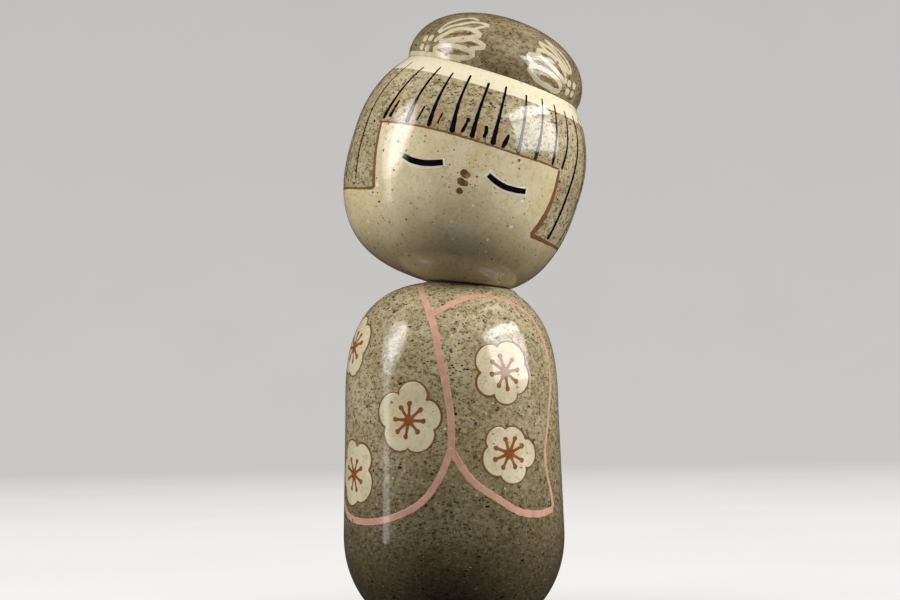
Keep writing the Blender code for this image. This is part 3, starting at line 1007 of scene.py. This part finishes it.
PATCHES = [
    ([(-38, 37.8), (-30, 39.0), (-22, 39.6)], 0.85),
    ([(-30, 36.4), (-22, 36.6), (-16, 36.6)], 0.77),
    ([(-38, 33.1), (-30, 33.1), (-23, 33.3)], 0.94),
    ([(31, 40.4), (38, 39.2), (45.5, 37.2)], 0.94),
    ([(24.7, 37.9), (34, 36.9), (42.8, 35.4)], 0.77),
    ([(29, 34.1), (36, 33.8), (42, 33.1)], 1.02),
]
DOTS = [
    (-58, 35.6), (-52, 35.9), (-58.2, 32.9), (-52.1, 32.7),
    (55.4, 35.3), (62.1, 35.4), (55.6, 32.8), (61.8, 32.9),
]


def swung(path, turn):
    """The same path further round."""
    return [(azimuth + turn, height) for azimuth, height in path]


leaves, patches, dots = [], [], []
dot_outline = np.full(36, 1.08)
# The whole pattern comes twice, the second time on the far side.
for turn in (0, 180):
    for number, (path, width) in enumerate(LEAVES_LEFT + LEAVES_RIGHT):
        lift = 0.01 + 0.002 * number
        made = ribbon(bun_form, swung(path, turn), width, lift=lift, wander=0.07, seed=number)
        leaves.append(made)
    for number, (path, width) in enumerate(PATCHES):
        thin = width * np.array([0.5, 1.0, 0.5])
        patches.append(ribbon(bun_form, swung(path, turn), thin, wander=0.16, seed=number + 9))
    for azimuth, height in DOTS:
        dots.append(pad(bun_form, azimuth + turn, height, dot_outline, 0.01))
piece("bun_leaves", leaves, "head", band_finish)
piece("bun_leaf_hearts", patches, "head", heart_finish)
piece("bun_dots", dots, "head", band_finish)
LIP = [(-104, 30.9), (-85, 30.9), (-60, 30.9), (-45, 30.9), (-32, 30.8), (-22, 30.7)]
lip = ribbon(bun_form, LIP, [0.8, 1.5, 1.6, 1.4, 1.0, 0.3], wander=0.08, lift=-0.01)
piece("bun_lip", [lip], "head", band_finish)

# ---------- pegs

for peg in ("neck_peg", "bun_peg"):
    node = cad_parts[peg]
    node.data.materials.clear()
    node.data.materials.append(wood_finish)

# ---------- studio


FLAT_RADIUS = 2.2
SWEEP_RADIUS = 1.0
WALL_TOP = 2.2


def studio_floor():
    """A round sweep: a flat disc, then a quarter circle up into a low wall. Metres."""
    angle = np.linspace(0, HALF_PI, 24)
    sweep = FLAT_RADIUS + SWEEP_RADIUS * np.sin(angle)
    radius = np.r_[np.linspace(0.05, FLAT_RADIUS, 12), sweep, FLAT_RADIUS + SWEEP_RADIUS]
    height = np.r_[np.zeros(12), SWEEP_RADIUS * (1.0 - np.cos(angle)), WALL_TOP]
    turn = np.linspace(0, 2 * math.pi, 96, endpoint=False)
    x, y = radius[:, None] * np.cos(turn), radius[:, None] * np.sin(turn)
    grid = np.stack([x, y, height[:, None] + 0 * turn], axis=-1)
    points, quads, fans = shell(grid)
    # Of the two fans that close the ends, only the one in the middle of the floor is kept.
    fans = fans[fans.max(axis=1) == len(points) - 2]
    mesh = bpy.data.meshes.new("floor")
    mesh.from_pydata(points.tolist(), [], quads[:, ::-1].tolist() + fans[:, ::-1].tolist())
    mesh.polygons.foreach_set("use_smooth", np.ones(len(mesh.polygons), bool))
    made = bpy.data.objects.new("floor", mesh)
    bpy.context.scene.collection.objects.link(made)
    return made


def floor_paint(place):
    """Pale matt paint, very slightly cloudy."""
    tone = grain(place, 180.0, 2.0)
    colour = blend(step(tone, 0.3, 0.7), shade(214, 212, 207), shade(219, 217, 212))
    return colour, 0.75 + 0.05 * tone, 0.02 * grain(place, 2.0, 2.0)


FLOOR_GLOW = 0.42
ROOM_GLOW = 0.03

floor = studio_floor()
floor.data.materials.append(finish("pale_floor", floor_paint))
floor_shader = floor.data.materials[0].node_tree.nodes["Principled BSDF"]
floor_shader.inputs["Emission Color"].default_value = (0.97, 0.96, 0.94, 1.0)
floor_shader.inputs["Emission Strength"].default_value = FLOOR_GLOW
floor.visible_diffuse = False
floor.visible_glossy = False

LIGHT_AIM = np.array([0.0, 0.0, 0.09])


def softbox(name, azimuth, elevation, distance, width, height, power, shape="RECTANGLE"):
    """A flat light at an azimuth and elevation about the doll's middle, facing it. Degrees, metres
    and watts."""
    a, e = math.radians(azimuth), math.radians(elevation)
    back = np.array([math.sin(a) * math.cos(e), -math.cos(a) * math.cos(e), math.sin(e)])
    across = np.array([math.cos(a), math.sin(a), 0.0])
    upward = np.cross(back, across)
    light = bpy.data.lights.new(name, "AREA")
    light.shape = shape
    light.size, light.size_y = width, height
    light.energy = power
    made = bpy.data.objects.new(name, light)
    matrix = np.eye(4)
    matrix[:3, 0], matrix[:3, 1], matrix[:3, 2] = across, upward, back
    matrix[:3, 3] = LIGHT_AIM + back * distance
    made.matrix_world = Matrix(matrix.tolist())
    made.visible_camera = False
    bpy.context.scene.collection.objects.link(made)
    return made


# The doll's lights leave the floor out, and the stage light falls on nothing else.
all_but_floor = bpy.data.collections.new("doll_lights_skip")
all_but_floor.objects.link(floor)
all_but_floor.collection_objects[0].light_linking.link_state = "EXCLUDE"
floor_only = bpy.data.collections.new("stage_light_reaches")
floor_only.objects.link(floor)

# Softboxes that show as highlights in the lacquer and give no soft light of their own.
MIRRORED = [
    ("left_softbox", -70, 29, 0.85, 0.25, 0.42, 0.80, "ELLIPSE"),
    ("left_softbox_edge", -72, 27, 0.86, 0.42, 0.60, 1.4, "ELLIPSE"),
    ("left_strip", -73, 5, 0.87, 0.12, 0.40, 0.24),
    ("right_softbox_top", 70, 36, 0.85, 0.72, 0.13, 1.9),
    ("right_softbox", 70, 17.5, 0.85, 0.75, 0.38, 3.6),
]
# Soft light on the paint, which leaves no highlight in the lacquer.
WASHES = [
    ("left_wash", -64, 38, 0.55, 0.40, 0.36, 2.45),
    ("right_wash", 62, 38, 0.55, 0.40, 0.36, 2.80),
    ("left_side_wash", -82, 8, 1.05, 0.6, 0.6, 4.6),
    ("right_side_wash", 82, 8, 1.05, 0.6, 0.6, 7.2),
    ("back_wash", 180, 52, 1.2, 1.2, 0.9, 6.0),
]
for settings in MIRRORED:
    box = softbox(*settings)
    box.light_linking.receiver_collection = all_but_floor
    box.visible_diffuse = False
for settings in WASHES:
    box = softbox(*settings)
    box.light_linking.receiver_collection = all_but_floor
    box.visible_glossy = False
stage_box = softbox("stage_light", 0, 89, 1.9, 2.4, 2.4, 42.0)
stage_box.light_linking.receiver_collection = floor_only

world = bpy.data.worlds.new("studio")
world.use_nodes = True
backdrop = world.node_tree.nodes["Background"]
backdrop.inputs["Color"].default_value = (0.95, 0.96, 1.0, 1.0)
backdrop.inputs["Strength"].default_value = ROOM_GLOW
bpy.context.scene.world = world
bpy.context.scene.view_settings.view_transform = "Standard"

CAMERA_PITCH = math.radians(2.66)
CAMERA_ROLL = math.radians(1.0)
CAMERA_PLACE = [0.0, -0.75, 0.059]
CAMERA_LENS = 100.0
CAMERA_SENSOR = 36.0

pitch_c, pitch_s = math.cos(CAMERA_PITCH), math.sin(CAMERA_PITCH)
roll_c, roll_s = math.cos(CAMERA_ROLL), math.sin(CAMERA_ROLL)
level_right = np.array([1.0, 0.0, 0.0])
level_up = np.array([0.0, -pitch_s, pitch_c])
camera_matrix = np.eye(4)
camera_matrix[:3, 0] = roll_c * level_right - roll_s * level_up
camera_matrix[:3, 1] = roll_s * level_right + roll_c * level_up
camera_matrix[:3, 2] = [0.0, -pitch_c, -pitch_s]
camera_matrix[:3, 3] = CAMERA_PLACE
camera_data = bpy.data.cameras.new("camera")
camera_data.lens = CAMERA_LENS
camera_data.sensor_width = CAMERA_SENSOR
camera_data.clip_start = 0.05
camera = bpy.data.objects.new("camera", camera_data)
camera.matrix_world = Matrix(camera_matrix.tolist())
bpy.context.scene.collection.objects.link(camera)
bpy.context.scene.camera = camera
